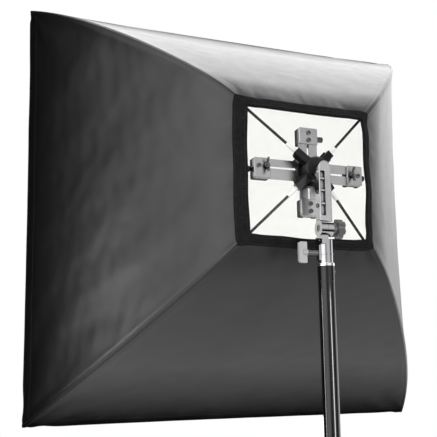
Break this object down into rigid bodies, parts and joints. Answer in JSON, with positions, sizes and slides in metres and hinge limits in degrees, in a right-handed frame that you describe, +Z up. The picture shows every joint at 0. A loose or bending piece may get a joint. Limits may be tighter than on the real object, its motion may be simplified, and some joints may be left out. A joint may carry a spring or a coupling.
{
  "type": "studio softbox",
  "caption": "Square black softbox with a white front diffuser and an open back, held by a tilting bracket of slotted arms with flash shoes on a light-stand riser.",
  "frame": {"origin": "centre of the riser tube's lower end", "axes": "+Z up along the riser, the front diffuser faces -Y, +X to the left seen from behind"},
  "size_m": [0.7, 0.3893, 0.725],
  "materials": {
    "black_nylon": "fine woven nylon with a slight sheen",
    "white_lining": "bright white coated cloth",
    "diffuser_cloth": "thin white diffusing cloth",
    "touch_tape": "black loop tape and binding",
    "rod_black": "black glass-fibre rod",
    "ferrule_white": "white moulded plastic",
    "arm_metal": "satin",
    "hub_black": "black powder coat",
    "shoe_black": "fine moulded grain",
    "screw_steel": "zinc plated",
    "knob_black": "moulded, lightly worn on the lobes",
    "joint_metal": "polished casting",
    "handle_grey": "pale grey moulded plastic",
    "bright_chrome": "polished",
    "tube_black": "gloss black over steel tube"
  },
  "bodies": {
    "stand": {"stand_tube": "tube_black", "stand_sleeve": "tube_black", "stand_collar": "bright_chrome", "stand_spigot": "bright_chrome", "collar_screw": "screw_steel", "guide_bush": "shoe_black"},
    "pan": {"stand_socket": "joint_metal", "tilt_bolt": "screw_steel"},
    "lock": {"lock_handle": "handle_grey"},
    "tilt_grip": {"tilt_knob": "knob_black"},
    "head": {"tilt_arm": "joint_metal", "tilt_arm_screws": "screw_steel", "tilt_washer": "screw_steel", "hub": "hub_black", "hub_screws": "screw_steel", "hub_bolt": "screw_steel", "cross_plate": "arm_metal", "rod_top_left": "rod_black", "rod_top_right": "rod_black", "rod_bottom_right": "rod_black", "rod_bottom_left": "rod_black", "rod_ferrules": "ferrule_white", "rod_tips": "shoe_black", "corner_pockets": "black_nylon", "opening_band": "touch_tape", "front_hem": "touch_tape", "front_diffuser": "diffuser_cloth", "panel_left": "black_nylon", "panel_top": "black_nylon", "panel_right": "black_nylon", "panel_bottom": "black_nylon", "lining_left": "white_lining", "lining_top": "white_lining", "lining_right": "white_lining", "lining_bottom": "white_lining"},
    "shoe_left": {"clamp_plate_left": "arm_metal", "flash_shoe_left": "shoe_black", "clamp_screws_left": "screw_steel"},
    "shoe_top": {"clamp_plate_top": "arm_metal", "flash_shoe_top": "shoe_black", "clamp_screws_top": "screw_steel"},
    "shoe_right": {"clamp_plate_right": "arm_metal", "flash_shoe_right": "shoe_black", "clamp_screws_right": "screw_steel"},
    "shoe_bottom": {"clamp_plate_bottom": "arm_metal", "flash_shoe_bottom": "shoe_black", "clamp_screws_bottom": "screw_steel"},
    "wing_left": {"wing_nut_left": "screw_steel"},
    "wing_right": {"wing_nut_right": "screw_steel"},
    "grip_left": {"shoe_knob_left": "shoe_black"},
    "grip_top": {"shoe_knob_top": "screw_steel"},
    "grip_right": {"shoe_knob_right": "shoe_black"},
    "grip_bottom": {"shoe_knob_bottom": "shoe_black"}
  },
  "joints": [
    {"name": "stand_pan", "type": "hinge", "parent": "stand", "child": "pan", "pos_m": [0, 0, 0.255], "axis": [0, 0, 1], "continuous": true},
    {"name": "lock_turn", "type": "hinge", "parent": "pan", "child": "lock", "pos_m": [0.02, 0, 0.2557], "axis": [1, 0, 0], "range_deg": [0, 270]},
    {"name": "head_tilt", "type": "hinge", "parent": "pan", "child": "head", "pos_m": [0, 0, 0.289], "axis": [1, 0, 0], "range_deg": [-85, 40]},
    {"name": "tilt_knob_turn", "type": "hinge", "parent": "pan", "child": "tilt_grip", "pos_m": [-0.02, 0, 0.289], "axis": [-1, 0, 0], "range_deg": [0, 270]},
    {"name": "shoe_slide_left", "type": "slide", "parent": "head", "child": "shoe_left", "axis": [1, 0, 0], "range_m": [-0.034, 0]},
    {"name": "shoe_slide_top", "type": "slide", "parent": "head", "child": "shoe_top", "axis": [0, 0, 1], "range_m": [-0.014, 0]},
    {"name": "shoe_slide_right", "type": "slide", "parent": "head", "child": "shoe_right", "axis": [-1, 0, 0], "range_m": [-0.034, 0]},
    {"name": "shoe_slide_bottom", "type": "slide", "parent": "head", "child": "shoe_bottom", "axis": [0, 0, -1], "range_m": [-0.014, 0]},
    {"name": "wing_turn_left", "type": "hinge", "parent": "shoe_left", "child": "wing_left", "pos_m": [0.0655, -0.0335, 0.3795], "axis": [0, 1, 0], "range_deg": [0, 270]},
    {"name": "wing_turn_right", "type": "hinge", "parent": "shoe_right", "child": "wing_right", "pos_m": [-0.0655, -0.0335, 0.377], "axis": [0, 1, 0], "range_deg": [0, 270]},
    {"name": "shoe_knob_turn_left", "type": "hinge", "parent": "shoe_left", "child": "grip_left", "pos_m": [0.087, -0.0499, 0.377], "axis": [1, 0, 0], "range_deg": [0, 270]},
    {"name": "shoe_knob_turn_top", "type": "hinge", "parent": "shoe_top", "child": "grip_top", "pos_m": [-0.018, -0.0483, 0.428], "axis": [-1, 0, 0], "range_deg": [0, 270]},
    {"name": "shoe_knob_turn_right", "type": "hinge", "parent": "shoe_right", "child": "grip_right", "pos_m": [-0.087, -0.0499, 0.377], "axis": [-1, 0, 0], "range_deg": [0, 270]},
    {"name": "shoe_knob_turn_bottom", "type": "hinge", "parent": "shoe_bottom", "child": "grip_bottom", "pos_m": [-0.018, -0.0483, 0.326], "axis": [-1, 0, 0], "range_deg": [0, 270]}
  ]
}
